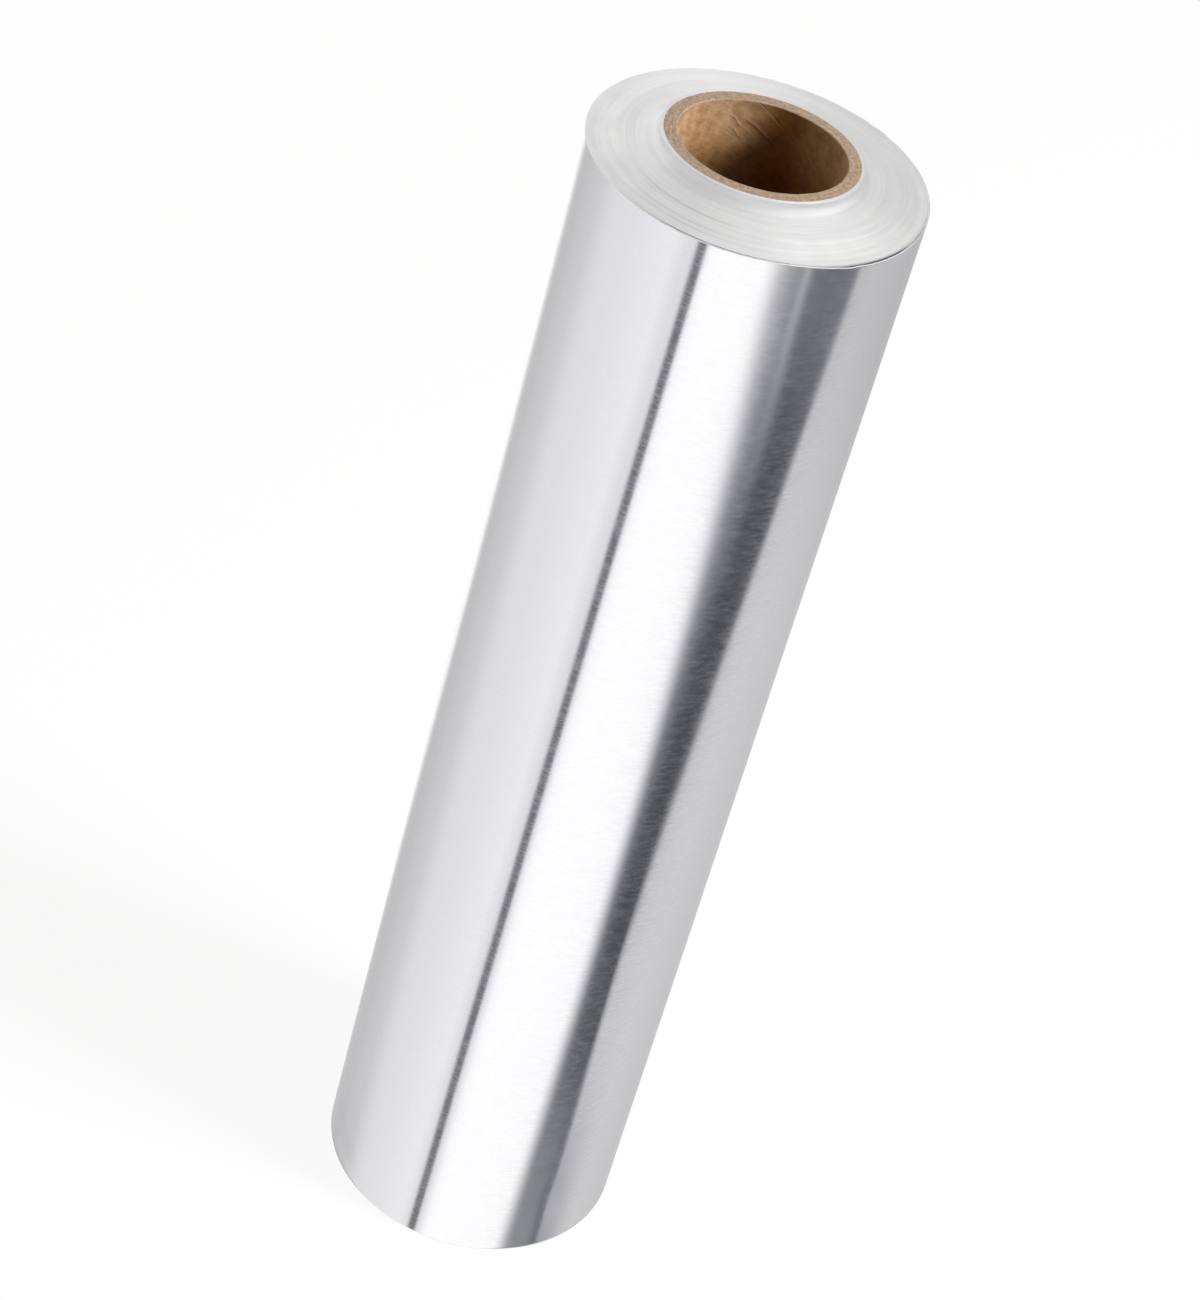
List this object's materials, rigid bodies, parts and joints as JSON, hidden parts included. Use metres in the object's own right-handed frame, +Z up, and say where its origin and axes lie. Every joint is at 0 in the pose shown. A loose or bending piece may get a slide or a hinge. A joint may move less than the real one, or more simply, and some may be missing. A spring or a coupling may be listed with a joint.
{
  "type": "aluminium foil roll",
  "caption": "Wide catering roll of aluminium foil wound on a brown card tube that stands out slightly at its upper end.",
  "frame": {"origin": "centre of the lower end of the roll, on the surface it stands on", "axes": "+Z up along the axis of the roll, towards the end where the tube stands out; the loose outer end of the foil lies along the wall at +Y"},
  "size_m": [0.0737, 0.0738, 0.3048],
  "materials": {
    "foil": "satin",
    "core_board": "matte"
  },
  "bodies": {
    "root": {"foil_winding": "foil", "cardboard_core": "core_board"}
  },
  "joints": []
}
